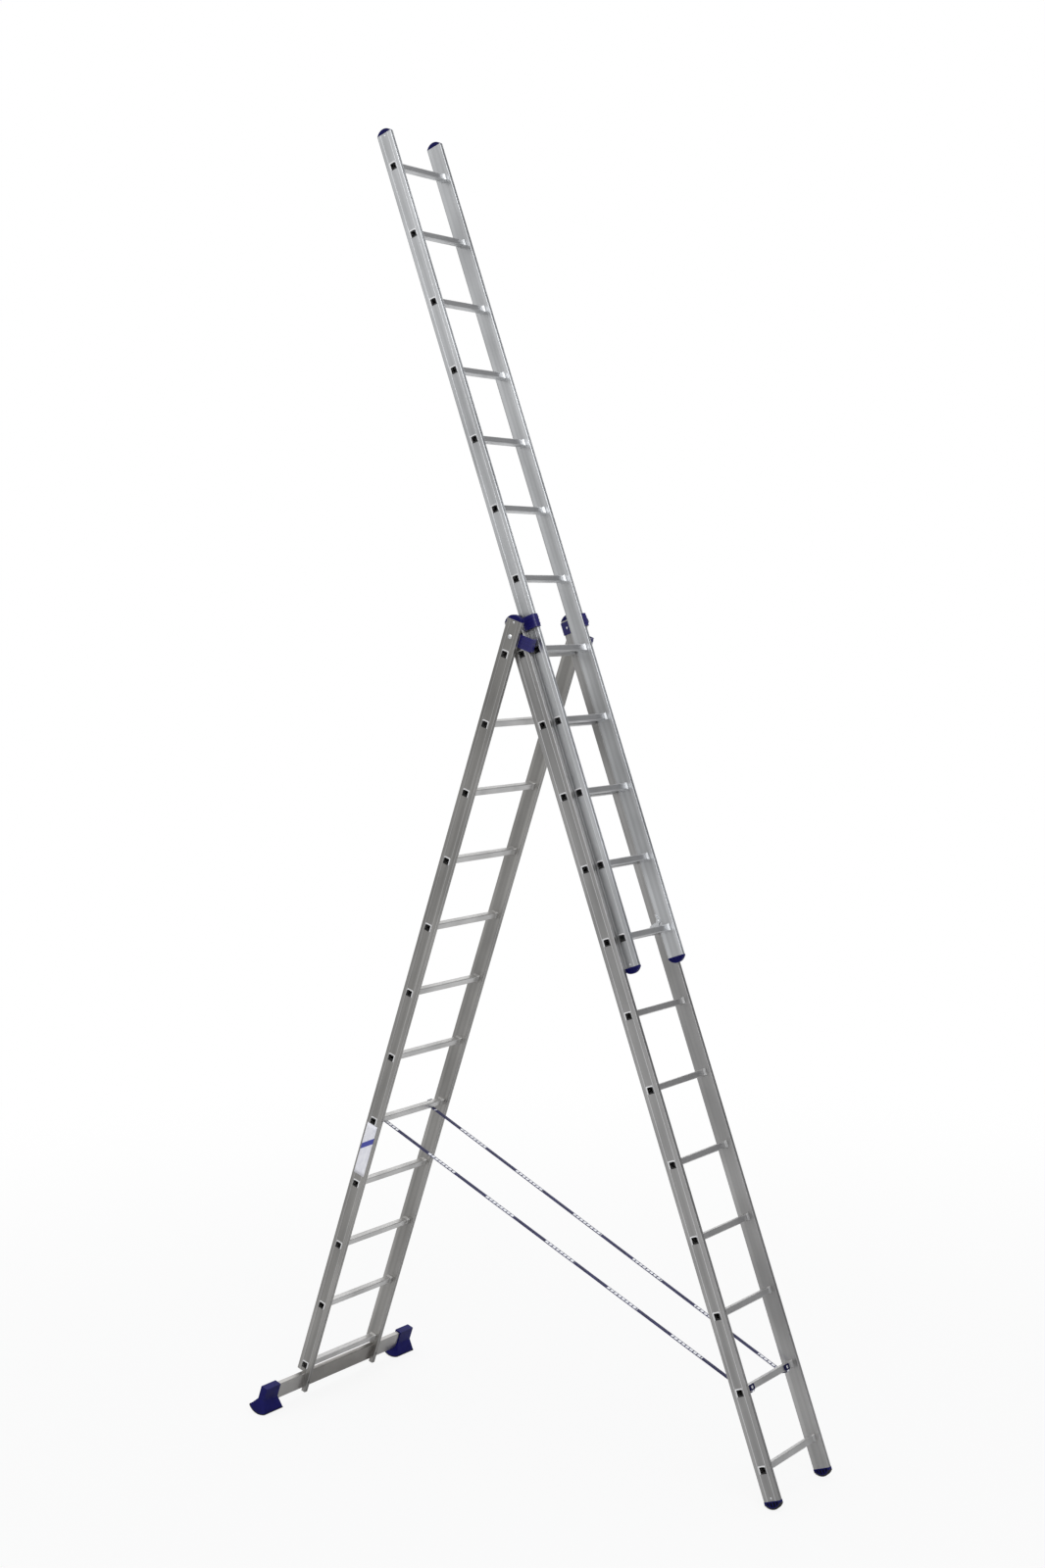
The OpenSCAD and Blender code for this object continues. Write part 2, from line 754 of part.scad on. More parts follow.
module latch(side) {
    color(bright) in_top() on_side(side)
        translate([top_half - rail_thick - latch_gap - latch_thick, 0, 0]) difference() {
            union() {
                along_x(latch_thick) latch_arm();
                translate([0, latch_y, latch_z]) rotate([0, 90, 0]) cylinder(h = latch_thick, r = latch_boss, $fn = 48);
                translate([latch_inset, latch_y, latch_z]) rotate([-latch_finger_lean, 0, 0])
                    translate([0, -latch_finger_wide / 2, 0])
                        cube([latch_thick - 2 * latch_inset, latch_finger_wide, latch_finger]);
            }
            translate([-1, latch_y, latch_z]) rotate([0, 90, 0])
                cylinder(h = latch_thick + 2, r = latch_pin_d / 2 + pin_gap, $fn = 48);
        }
}

rear_stile(-1);  // rear_stile_left
rear_stile(1);  // rear_stile_right
rear_rungs();
rear_caps();
rear_cap_rivets();
stabiliser_bar();
boots();
boot_soles();
bar_bolts();
rear_guide(-1);  // rear_guide_left
rear_guide(1);  // rear_guide_right
rear_guide_bolts();
rear_guide_nuts();
strap(-1);  // strap_left
strap(1);  // strap_right
rear_strap_clips();
rear_strap_rivets();
front_stile(-1);  // front_stile_left
front_stile(1);  // front_stile_right
front_rungs();
front_caps();
front_cap_rivets();
front_feet();
foot_treads();
foot_rivets();
front_guide(-1);  // front_guide_left
front_guide(1);  // front_guide_right
front_guide_rivets();
strap_ends();
front_strap_clips();
front_strap_rivets();
top_stile(-1);  // top_stile_left
top_stile(1);  // top_stile_right
top_rungs();
top_upper_caps();
top_lower_caps();
top_cap_rivets();
latch_pins();
latch(-1);  // latch_left
latch(1);  // latch_right
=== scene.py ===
"""Looks for a three-section aluminium ladder standing open as an A-frame."""

import json
import math

import bmesh
import bpy
from bpy.props import FloatProperty, FloatVectorProperty, PointerProperty
from bpy.types import Operator, Panel, PropertyGroup
from mathutils import Matrix, Vector


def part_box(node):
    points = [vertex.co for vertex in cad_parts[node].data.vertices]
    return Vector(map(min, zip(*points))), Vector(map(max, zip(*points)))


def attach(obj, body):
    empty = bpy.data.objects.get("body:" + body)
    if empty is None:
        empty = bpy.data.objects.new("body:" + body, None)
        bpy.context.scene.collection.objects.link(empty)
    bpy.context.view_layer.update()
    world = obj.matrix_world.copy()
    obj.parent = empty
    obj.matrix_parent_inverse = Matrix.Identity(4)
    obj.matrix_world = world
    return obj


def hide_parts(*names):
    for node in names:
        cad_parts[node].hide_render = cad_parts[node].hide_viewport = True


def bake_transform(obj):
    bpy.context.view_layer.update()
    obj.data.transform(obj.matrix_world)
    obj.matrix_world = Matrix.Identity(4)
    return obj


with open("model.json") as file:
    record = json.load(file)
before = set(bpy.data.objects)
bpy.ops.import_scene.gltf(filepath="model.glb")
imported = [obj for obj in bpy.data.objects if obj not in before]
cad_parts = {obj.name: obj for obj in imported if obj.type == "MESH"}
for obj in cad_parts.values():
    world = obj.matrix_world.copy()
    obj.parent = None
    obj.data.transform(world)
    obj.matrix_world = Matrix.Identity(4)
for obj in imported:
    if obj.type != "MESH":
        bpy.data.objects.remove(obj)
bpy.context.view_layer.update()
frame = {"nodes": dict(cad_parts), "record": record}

bl_info = {
    "name": "Ladder Looks",
    "version": (1, 0, 0),
    "blender": (4, 5, 0),
    "location": "3D View > Sidebar > Ladder",
    "description": "Finishes, straps, label and stage for a three-section ladder",
    "category": "Object",
}

# Section geometry, in metres, as the CAD has it
JOINTS = {j["name"]: j for j in frame["record"]["behaviour"]["joints"]}
SLIDE_AXIS = Vector(JOINTS["section_slide"]["axis"]).normalized()
FOLD = Vector(JOINTS["leg_fold"]["pos_m"])
LEAN = math.atan2(SLIDE_AXIS.y, SLIDE_AXIS.z)
PITCH = 0.280
TOP_RUNG = 11 * PITCH
RUNG_SIDE = 0.024
RAIL_THICK = 0.018
RIDGE = 0.0008
POCKET_DEEP = 0.0025

# Straps: the rung and the distance across at each end, and the turn round a rung's corner
REAR_STRAP_RUNG, REAR_STRAP_X = 4, 0.153
FRONT_STRAP_RUNG, FRONT_STRAP_X = 1, 0.132
TURN_AT = 0.009
TURN_MID = 0.00405
STRAP_THICK = 0.0018
STRAP_STEPS = 60

# Webbing: half pitches of the weave, then where its bars, dashes, stitch and selvage lie
WEFT, WARP = 0.0008, 0.0006
BAR_EVERY, BAR_LONG, BAR_HALF = 0.308, 0.145, 0.0070
DASH_EVERY, DASH_GAP = 0.018, 0.0045
STITCH_AT, STITCH_HALF = 0.060, 0.0022
SELVAGE = (0.0086, 0.0090)

# Stile marks, painted shade in the web's middle and the grooves and painted highlights on the lands: start and full
# strength of each zone, from the middle of the depth
WEB_SHADE = (0.0185, 0.0150)
GROOVE_START = (0.0326, 0.0329)
GROOVE_END = (0.0338, 0.0336)
LAND = (0.0336, 0.0339)
# The same for the painted highlight lines on the lands, from the middle of the thickness
INNER_LINE, INNER_LINE_FADE = 0.0058, (0.0010, 0.0006)
OUTER_LINE = (0.0078, 0.0084)
# Tops of the ridges, painted bright as highlights, down from the stile's outermost face
RIDGE_TOP = (0.0007, 0.0004)

# Rung ends: depth over which a rim begins, painted bright as a highlight, and the opening inside it, painted near
# black as shade
RIM_FADE = 0.0003
RIM_OPENING = (0.0130, 0.0124)

# Floors of the pockets in the feet, painted near black as shade: how near, and how far from the middle
FLOOR_NEAR = (0.0006, 0.0003)
FLOOR_SIDE = (0.0330, 0.0325)

# Label: span up the stile, width, thickness, and the ridges that it swells over
LABEL_UP = (0.880, 1.103)
LABEL_WIDE = 0.051
LABEL_THICK = 0.0002
RIDGE_AT, RIDGE_HALF, RIDGE_SLOPE, SWELL = 0.0175, 0.0013, 0.003, 0.0009
BAND_FROM, BAND_TO, BAND_SLOPE = 0.095, 0.070, 0.9

# Colours, and for each section its tint, painted light that makes the one aluminium lighter or darker for how that
# section is lit, and the strength of the painted highlights on its edges
NAVY = (0.005, 0.005, 0.066)
SECTION_PAINTED_LIGHT = (
    ("rear", (0.88, 0.87, 0.855), 0.30),
    ("front", (1.02, 1.02, 1.03), 0.60),
    ("top", (1.44, 1.48, 1.54), 0.65),
)
# Crossbar: its tint, and the lighter colour of its ends beyond the stiles, a painted reflection that leaves the
# middle darker
BAR_TINT = (0.78, 0.76, 0.74)
BAR_END_REFLECTION = (0.50, 0.49, 0.475)

# Camera and studio
CAMERA_AT = (-7.1607, -4.8933, 3.1926)
CAMERA_TURN = (0.6097, -0.0749, -0.0067)
CAMERA_LENS = 52.19
LAMPS = (
    ("key", (-0.50, -0.62, 0.60), 36.0, 0.85),
    ("overhead", (0.10, 0.15, 1.0), 60.0, 0.90),
)
FLOOR_RADIUS = 40
BACKDROP_WAY = (0.82, 0.57, 0.0)
FLAG_WAY = (0.80, -0.46, 0.40)
CARD_WAY = (-0.80, 0.55, 0.38)
SKY_BANDS = [
    (0.00, (0.30, 0.298, 0.29)),
    (0.08, (0.40, 0.405, 0.41)),
    (0.24, (0.84, 0.86, 0.90)),
    (0.60, (0.95, 0.96, 0.98)),
    (1.00, (1.0, 1.0, 1.0)),
]


def rear_point(x, y, z):
    """Shared-frame place of a point given up the rear leg, from its bottom rung."""
    up = Matrix.Rotation(LEAN, 4, "X")
    return up @ Vector((x, y, z - TOP_RUNG)) + FOLD


def front_point(x, y, z):
    """Shared-frame place of a point given up the front leg, from its bottom rung."""
    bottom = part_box("front_rungs")[0]
    half = RUNG_SIDE / 2 * (math.cos(LEAN) + math.sin(LEAN))
    start = Vector((0, bottom.y + half, bottom.z + half))
    up = Matrix.Rotation(-LEAN, 4, "X")
    return up @ Vector((x, y, z)) + start


def web_at(section):
    """Distance across to a section's outer web, under the ridges."""
    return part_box(section + "_stile_right")[1].x - RIDGE


def leg_centre(section):
    """Turn and bottom rung centre of a section, from which its own frame is measured."""
    low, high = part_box(section + "_rungs")
    half = RUNG_SIDE / 2 * (math.cos(LEAN) + math.sin(LEAN))
    if section == "rear":
        return -LEAN, Vector((0, high.y - half, low.z + half))
    return LEAN, Vector((0, low.y + half, low.z + half))


# ---------------------------------------------------------------- materials


def new_material(name):
    """A material with its Principled shader and node tree."""
    material = bpy.data.materials.new(name)
    material.use_nodes = True
    tree = material.node_tree
    shader = tree.nodes["Principled BSDF"]
    return material, tree, shader


def coordinates(tree):
    """Object coordinates."""
    return tree.nodes.new("ShaderNodeTexCoord").outputs["Object"]


def axes(tree, vector):
    """The X, Y and Z of a vector."""
    node = tree.nodes.new("ShaderNodeSeparateXYZ")
    tree.links.new(vector, node.inputs[0])
    return node.outputs["X"], node.outputs["Y"], node.outputs["Z"]


def noise(tree, vector, scale, detail=3.0, roughness=0.5):
    """Noise factor over a vector."""
    node = tree.nodes.new("ShaderNodeTexNoise")
    node.inputs["Scale"].default_value = scale
    node.inputs["Detail"].default_value = detail
    node.inputs["Roughness"].default_value = roughness
    tree.links.new(vector, node.inputs["Vector"])
    return node.outputs["Fac"]


def ramp(tree, factor, stops):
    """Colour ramp with (position, colour) stops."""
    node = tree.nodes.new("ShaderNodeValToRGB")
    elements = node.color_ramp.elements
    elements[0].position, elements[0].color = stops[0][0], (*stops[0][1], 1)
    elements[1].position, elements[1].color = stops[-1][0], (*stops[-1][1], 1)
    for place, colour in stops[1:-1]:
        element = elements.new(place)
        element.color = (*colour, 1)
    tree.links.new(factor, node.inputs["Fac"])
    return node.outputs["Color"]


def spread(tree, factor, low, high):
    """Maps a factor from 0..1 to low..high."""
    node = tree.nodes.new("ShaderNodeMapRange")
    node.inputs["To Min"].default_value = low
    node.inputs["To Max"].default_value = high
    tree.links.new(factor, node.inputs["Value"])
    return node.outputs["Result"]


def bump(tree, shader, height, strength, distance):
    """Bump from a height into the shader's normal."""
    node = tree.nodes.new("ShaderNodeBump")
    node.inputs["Strength"].default_value = strength
    node.inputs["Distance"].default_value = distance
    tree.links.new(height, node.inputs["Height"])
    tree.links.new(node.outputs["Normal"], shader.inputs["Normal"])


def step_up(tree, value, start, full):
    """Factor that climbs from 0 at start to 1 at full."""
    node = tree.nodes.new("ShaderNodeMapRange")
    node.interpolation_type = "SMOOTHSTEP"
    node.inputs["From Min"].default_value = start
    node.inputs["From Max"].default_value = full
    tree.links.new(value, node.inputs["Value"])
    return node.outputs["Result"]


def facing(tree, way, aim, start, full):
    """How far a direction faces another one, from 0 at start to 1 at full."""
    dot = tree.nodes.new("ShaderNodeVectorMath")
    dot.operation = "DOT_PRODUCT"
    dot.inputs[1].default_value = Vector(aim).normalized()
    tree.links.new(way, dot.inputs[0])
    return step_up(tree, dot.outputs["Value"], start, full)


def maths(tree, operation, *values):
    """One sum on up to three values, each one a socket or a plain number."""
    node = tree.nodes.new("ShaderNodeMath")
    node.operation = operation
    for socket, value in zip(node.inputs, values):
        if isinstance(value, float):
            socket.default_value = value
        else:
            tree.links.new(value, socket)
    return node.outputs[0]


def size_of(tree, value):
    """A value without its sign."""
    return maths(tree, "ABSOLUTE", value)


def both(tree, first, second):
    """Product of two factors."""
    return maths(tree, "MULTIPLY", first, second)


def blend_colour(tree, factor, under, over, way="MIX"):
    """Mix of two colours, each one a socket or a plain colour."""
    node = tree.nodes.new("ShaderNodeMix")
    node.data_type = "RGBA"
    node.blend_type = way
    for socket, value in ((node.inputs[0], factor), (node.inputs[6], under), (node.inputs[7], over)):
        if isinstance(value, tuple):
            socket.default_value = (*value, 1)
        elif isinstance(value, float):
            socket.default_value = value
        else:
            tree.links.new(value, socket)
    return node.outputs[2]


def leg_frame(tree, section):
    """Object coordinates in a section's own frame: across, through and up the leg."""
    turn, centre = leg_centre(section)
    shift = tree.nodes.new("ShaderNodeVectorMath")
    shift.operation = "SUBTRACT"
    shift.inputs[1].default_value = centre
    tree.links.new(coordinates(tree), shift.inputs[0])
    mapping = tree.nodes.new("ShaderNodeMapping")
    mapping.inputs["Rotation"].default_value = (turn, 0, 0)
    tree.links.new(shift.outputs[0], mapping.inputs["Vector"])
    return mapping.outputs["Vector"]


def scaled(tree, vector, scale):
    """A vector stretched by three scales."""
    node = tree.nodes.new("ShaderNodeMapping")
    node.inputs["Scale"].default_value = scale
    tree.links.new(vector, node.inputs["Vector"])
    return node.outputs["Vector"]


def drawn_stile(name, section, colour, rough, highlight_strength):
    """Drawn aluminium stile: long streaks and handling clouds, with painted shade in the web's middle and in the
    grooves, and painted highlights on the ridges and lands.
    """
    material, tree, shader = new_material(name)
    leg = leg_frame(tree, section)
    x, y, _ = axes(tree, leg)
    out, deep = size_of(tree, x), size_of(tree, y)
    fine = noise(tree, scaled(tree, leg, (300, 300, 1.2)), 1.0, 2.0, 0.5)
    streaks = noise(tree, scaled(tree, leg, (62, 62, 0.5)), 1.0, 1.0, 0.5)
    clouds = noise(tree, scaled(tree, leg, (9, 9, 2.6)), 1.0, 2.0, 0.5)
    dull = tuple(c * 0.80 for c in colour)
    lighter = tuple(min(1.0, c * 1.14) for c in colour)
    tint = ramp(tree, clouds, [(0.34, dull), (0.52, colour), (0.68, lighter)])
    streak = ramp(tree, streaks, [(0.36, (0.84, 0.84, 0.84)), (0.62, (1.0, 1.0, 1.0))])
    toned = blend_colour(tree, 1.0, tint, streak, "MULTIPLY")
    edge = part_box(section + "_stile_right")[1].x
    ridge = step_up(tree, out, edge - RIDGE_TOP[0], edge - RIDGE_TOP[1])
    # Painted shade: the web's recessed middle, between the ridges, is darkened
    middle = step_up(tree, deep, *WEB_SHADE)
    toned = blend_colour(tree, both(tree, middle, 0.30), toned, tuple(c * 0.55 for c in colour))
    groove_shade = both(tree, step_up(tree, deep, *GROOVE_START), step_up(tree, deep, *GROOVE_END))
    land = step_up(tree, deep, *LAND)
    from_mid = size_of(tree, maths(tree, "SUBTRACT", out, web_at(section) - RAIL_THICK / 2))
    from_line = size_of(tree, maths(tree, "SUBTRACT", from_mid, INNER_LINE))
    lines = maths(tree, "MAXIMUM", step_up(tree, from_line, *INNER_LINE_FADE), step_up(tree, from_mid, *OUTER_LINE))
    # Painted highlights: the ridge tops and the lines on the lands are lightened towards near white
    painted_highlight = maths(tree, "MAXIMUM", ridge, both(tree, land, lines))
    # Painted shade: the grooves beside the lands are darkened towards near black
    toned = blend_colour(tree, both(tree, groove_shade, 0.75), toned, (0.10, 0.10, 0.10))
    toned = blend_colour(tree, both(tree, painted_highlight, highlight_strength), toned, (0.92, 0.92, 0.93))
    tree.links.new(toned, shader.inputs["Base Color"])
    shader.inputs["Metallic"].default_value = 1.0
    tree.links.new(spread(tree, streaks, rough - 0.07, rough + 0.09), shader.inputs["Roughness"])
    bump(tree, shader, fine, 0.04, 0.0003)
    return material


def drawn_tube(name, section, colour, rough, ends=(0.97, 0.97, 0.98), paint_opening_shade=True):
    """Drawn aluminium tube: faint lines along it, handling marks, ends beyond the stiles in a lighter colour
    (painted highlights on a rung's rolled rims, a painted reflection on the crossbar) and, on a rung, an opening
    painted dark as shade.
    """
    material, tree, shader = new_material(name)
    leg = leg_frame(tree, section)
    x, y, z = axes(tree, leg)
    fine = noise(tree, scaled(tree, leg, (1.6, 300, 300)), 1.0, 2.0, 0.5)
    clouds = noise(tree, scaled(tree, leg, (6, 9, 5)), 1.0, 2.0, 0.5)
    dull = tuple(c * 0.84 for c in colour)
    lighter = tuple(min(1.0, c * 1.10) for c in colour)
    tint = ramp(tree, clouds, [(0.34, dull), (0.52, colour), (0.68, lighter)])
    web = web_at(section)
    # Ends beyond the stile's web take the lighter colour: a painted highlight on a rung's rims, a painted
    # reflection on the crossbar's ends
    rim = step_up(tree, size_of(tree, x), web, web + RIM_FADE)
    tint = blend_colour(tree, rim, tint, ends)
    # On a rung, the opening inside the rim is painted near black as shade
    if paint_opening_shade:
        beside = maths(tree, "PINGPONG", z, PITCH / 2)
        reach = maths(tree, "MAXIMUM", beside, size_of(tree, y))
        opening_shade = both(tree, rim, step_up(tree, reach, *RIM_OPENING))
        tint = blend_colour(tree, opening_shade, tint, (0.05, 0.05, 0.05))
    tree.links.new(tint, shader.inputs["Base Color"])
    shader.inputs["Metallic"].default_value = 1.0
    tree.links.new(spread(tree, clouds, rough + 0.07, rough - 0.05), shader.inputs["Roughness"])
    bump(tree, shader, fine, 0.05, 0.0003)
    return material


def moulded(name, colour, rough, grain, gloss):
    """Moulded plastic or rubber with a fine grain."""
    material, tree, shader = new_material(name)
    fine = noise(tree, coordinates(tree), grain, 2.0, 0.6)
    broad = noise(tree, coordinates(tree), 22.0, 3.0, 0.5)
    high = tuple(min(1.0, c * 1.35) for c in colour)
    tree.links.new(ramp(tree, broad, [(0.35, colour), (0.70, high)]), shader.inputs["Base Color"])
    tree.links.new(spread(tree, broad, rough - 0.06, rough + 0.08), shader.inputs["Roughness"])
    shader.inputs["Specular IOR Level"].default_value = gloss
    bump(tree, shader, fine, 0.12, 0.0003)
    return material


def pocketed(name, section, colour, rough, grain, gloss):
    """Moulded plastic whose pocket floors are painted near black as shade."""
    material = moulded(name, colour, rough, grain, gloss)
    tree = material.node_tree
    shader = tree.nodes["Principled BSDF"]
    x, y, _ = axes(tree, leg_frame(tree, section))
    from_mid = size_of(tree, maths(tree, "SUBTRACT", size_of(tree, x), web_at(section) - RAIL_THICK / 2))
    from_floor = size_of(tree, maths(tree, "SUBTRACT", from_mid, RAIL_THICK / 2 - POCKET_DEEP))
    # Painted shade: the pocket floors are darkened to near black
    floors = both(tree, step_up(tree, from_floor, *FLOOR_NEAR), step_up(tree, size_of(tree, y), *FLOOR_SIDE))
    lighter = shader.inputs["Base Color"].links[0].from_socket
    tree.links.new(blend_colour(tree, floors, lighter, (0.004, 0.004, 0.006)), shader.inputs["Base Color"])
    return material


def powder_coat(name, colour):
    """Glossy powder coat over steel, with a slight orange peel."""
    material, tree, shader = new_material(name)
    peel = noise(tree, coordinates(tree), 420.0, 2.0, 0.5)
    shader.inputs["Base Color"].default_value = (*colour, 1)
    shader.inputs["Specular IOR Level"].default_value = 0.30
    shader.inputs["Coat Weight"].default_value = 0.45
    shader.inputs["Coat Roughness"].default_value = 0.06
    tree.links.new(spread(tree, peel, 0.28, 0.40), shader.inputs["Roughness"])
    bump(tree, shader, peel, 0.10, 0.0004)
    return material


def zinc(name):
    """Bright zinc plate with a faint spangle."""
    material, tree, shader = new_material(name)
    spangle = noise(tree, coordinates(tree), 300.0, 2.0, 0.5)
    tone = ramp(tree, spangle, [(0.3, (0.62, 0.63, 0.65)), (0.7, (0.78, 0.79, 0.80))])
    tree.links.new(tone, shader.inputs["Base Color"])
    shader.inputs["Metallic"].default_value = 1.0
    tree.links.new(spread(tree, spangle, 0.22, 0.34), shader.inputs["Roughness"])
    return material


def paint(material, *names):
    """Gives CAD nodes a better material in their own slots."""
    for name in names:
        piece = frame["nodes"][name]
        for slot in piece.material_slots:
            slot.material = material


# ---------------------------------------------------------------- settings


class LadderSettings(PropertyGroup):
    """Sizes and colours that a user would change."""

    aluminium: FloatVectorProperty(
        name="Aluminium", description="Colour of the bare aluminium",
        subtype="COLOR", size=3, min=0, max=1, default=(0.46, 0.455, 0.445))
    plastic: FloatVectorProperty(
        name="Plastic", description="Colour of the caps, feet and boots",
        subtype="COLOR", size=3, min=0, max=1, default=NAVY)
    coat: FloatVectorProperty(
        name="Guides", description="Colour of the coated steel guides",
        subtype="COLOR", size=3, min=0, max=1, default=(0.012, 0.010, 0.115))
    strap_width: FloatProperty(
        name="Strap width", description="Width of the restraint webbing", unit="LENGTH", default=0.020)


class LADDER_OT_camera(Operator):
    """Place the camera"""

    bl_idname = "ladder.camera"
    bl_label = "Camera"

    def execute(self, context):
        yaw, pitch, roll = CAMERA_TURN
        ahead = Vector((math.cos(yaw) * math.cos(pitch), math.sin(yaw) * math.cos(pitch), math.sin(pitch)))
        right = Vector((math.sin(yaw), -math.cos(yaw), 0))
        up = right.cross(ahead)
        side = right * math.cos(roll) + up * math.sin(roll)
        top = up * math.cos(roll) - right * math.sin(roll)
        data = bpy.data.cameras.new("Camera")
        data.sensor_fit = "VERTICAL"
        data.sensor_height = 36.0
        data.lens = CAMERA_LENS
        data.clip_end = 100.0
        camera = bpy.data.objects.new("Camera", data)
        context.scene.collection.objects.link(camera)
        turn = Matrix((side, top, -ahead)).transposed().to_4x4()
        camera.matrix_world = Matrix.Translation(CAMERA_AT) @ turn
        context.scene.camera = camera
        return {"FINISHED"}


class LADDER_OT_aluminium(Operator):
    """Finish the stiles, rungs and crossbar"""

    bl_idname = "ladder.aluminium"
    bl_label = "Aluminium"

    def execute(self, context):
        bare = tuple(context.scene.ladder.aluminium)
        # Each section's tint is painted light: the one bare aluminium made lighter or darker for how that section
        # is lit
        for section, tint, highlight_strength in SECTION_PAINTED_LIGHT:
            colour = tuple(c * t for c, t in zip(bare, tint))
            stile = drawn_stile("stile_" + section, section, colour, 0.30, highlight_strength)
            paint(stile, section + "_stile_left", section + "_stile_right")
            pale = tuple(0.5 * c + 0.44 for c in colour)
            paint(drawn_tube("rung_" + section, section, pale, 0.32), section + "_rungs")
        colour = tuple(c * t for c, t in zip(bare, BAR_TINT))
        # The crossbar's ends are painted lighter than its middle: a painted reflection
        paint(drawn_tube("crossbar", "rear", colour, 0.30, BAR_END_REFLECTION, paint_opening_shade=False), "stabiliser_bar")
        return {"FINISHED"}


class LADDER_OT_plastics(Operator):
    """Finish the caps, feet, boots and rubbers"""

    bl_idname = "ladder.plastics"
    bl_label = "Plastics"

    def execute(self, context):
        colour = tuple(context.scene.ladder.plastic)
        navy = moulded("navy_moulding", colour, 0.36, 900.0, 0.10)
        paint(navy, "rear_caps", "front_caps", "top_upper_caps", "top_lower_caps", "boots")
        paint(pocketed("navy_foot", "front", colour, 0.36, 900.0, 0.10), "front_feet")
        clip = moulded("navy_clip", tuple(0.45 * c for c in colour), 0.42, 900.0, 0.10)
        paint(clip, "rear_strap_clips", "front_strap_clips")
        rubber = moulded("black_rubber", (0.014, 0.014, 0.015), 0.62, 700.0, 0.30)
        paint(rubber, "boot_soles", "foot_treads")
        return {"FINISHED"}


class LADDER_OT_metalwork(Operator):
    """Finish the guides, latches and fasteners"""

    bl_idname = "ladder.metalwork"
    bl_label = "Metalwork"

    def execute(self, context):
        coat = powder_coat("navy_coat", tuple(context.scene.ladder.coat))
        plate = zinc("zinc_plate")
        paint(coat, "rear_guide_left", "rear_guide_right", "front_guide_left", "front_guide_right")
        words = ("rivets", "bolts", "nuts", "latch", "pins")
        bright = [name for name in frame["nodes"] if any(word in name for word in words)]
        paint(plate, *bright)
        return {"FINISHED"}


def strap_line(side):
    """Middle line of one strap, from its rear clip, round both rungs, to its front clip."""
    out = TURN_AT + TURN_MID
    rear_low = REAR_STRAP_RUNG * PITCH - TURN_AT
    front_low = FRONT_STRAP_RUNG * PITCH - TURN_AT
    rear_turn = rear_point(0, TURN_AT, rear_low)
    front_turn = front_point(0, TURN_AT, front_low)
    run = (front_turn - rear_turn).normalized()
    under = Vector((0, run.z, -run.y))
    if under.z > 0:
        under.negate()
    back_way = rear_point(0, 1, 0) - rear_point(0, 0, 0)
    down_way = front_point(0, 0, -1) - front_point(0, 0, 0)
    ahead_way = front_point(0, -1, 0) - front_point(0, 0, 0)
    line = [rear_point(0, out, REAR_STRAP_RUNG * PITCH + TURN_AT)]
    line += arc(rear_turn, back_way, under, 7)
    first, last = line[-1], front_turn + under * TURN_MID
    line += [first.lerp(last, k / STRAP_STEPS) for k in range(1, STRAP_STEPS)]
    line += arc(front_turn, under, down_way, 5)
    line += arc(front_point(0, -TURN_AT, front_low), down_way, ahead_way, 7)
    line.append(front_point(0, -out, FRONT_STRAP_RUNG * PITCH + TURN_AT))
    reach = (last - first).length
    for point in line:
        along = min(1, max(0, (point - first).dot(run) / reach))
        point.x = side * (REAR_STRAP_X + (FRONT_STRAP_X - REAR_STRAP_X) * along)
    return line, first, last


def arc(centre, start, end, steps):
    """Points round a centre from one direction to another, at the strap's middle radius."""
    angle = start.angle(end)
    turn = start.cross(end).normalized()
    turns = [Matrix.Rotation(angle * k / steps, 3, turn) for k in range(steps + 1)]
    return [centre + rotation @ start * TURN_MID for rotation in turns]


def webbing(name, first_bar):
    """Woven navy webbing with selvages, lock stitches and plain white bars along its middle."""
    material, tree, shader = new_material(name)
    laid = tree.nodes.new("ShaderNodeUVMap").outputs["UV"]
    x, along, _ = axes(tree, laid)
    across = size_of(tree, x)
    weft = maths(tree, "PINGPONG", along, WEFT)
    warp = maths(tree, "PINGPONG", maths(tree, "ADD", across, weft), WARP)
    thread = step_up(tree, warp, 0.0, WARP)
    wear = noise(tree, scaled(tree, laid, (90, 22, 1)), 1.0, 3.0, 0.6)
    cloth = ramp(tree, wear, [(0.35, (0.008, 0.008, 0.040)), (0.70, (0.022, 0.022, 0.090))])
    place = maths(tree, "WRAP", maths(tree, "SUBTRACT", along, first_bar), BAR_EVERY, 0.0)
    group = maths(tree, "LESS_THAN", place, BAR_LONG)
    dash = maths(tree, "GREATER_THAN", maths(tree, "WRAP", along, DASH_EVERY, 0.0), DASH_GAP)
    inner = maths(tree, "LESS_THAN", across, BAR_HALF)
    bars = both(tree, both(tree, group, dash), inner)
    marked = blend_colour(tree, both(tree, bars, 0.90), cloth, (0.78, 0.79, 0.82))
    stitch = maths(tree, "COMPARE", along, STITCH_AT, STITCH_HALF)
    marked = blend_colour(tree, both(tree, stitch, 0.85), marked, (0.80, 0.80, 0.82))
    selvage = step_up(tree, across, *SELVAGE)
    marked = blend_colour(tree, both(tree, selvage, 0.5), marked, (0.030, 0.030, 0.120))
    tree.links.new(marked, shader.inputs["Base Color"])
    tree.links.new(spread(tree, thread, 0.62, 0.82), shader.inputs["Roughness"])
    shader.inputs["Specular IOR Level"].default_value = 0.25
    shader.inputs["Sheen Weight"].default_value = 0.15
    shader.inputs["Sheen Roughness"].default_value = 0.5
    bump(tree, shader, thread, 0.5, 0.0003)
    return material


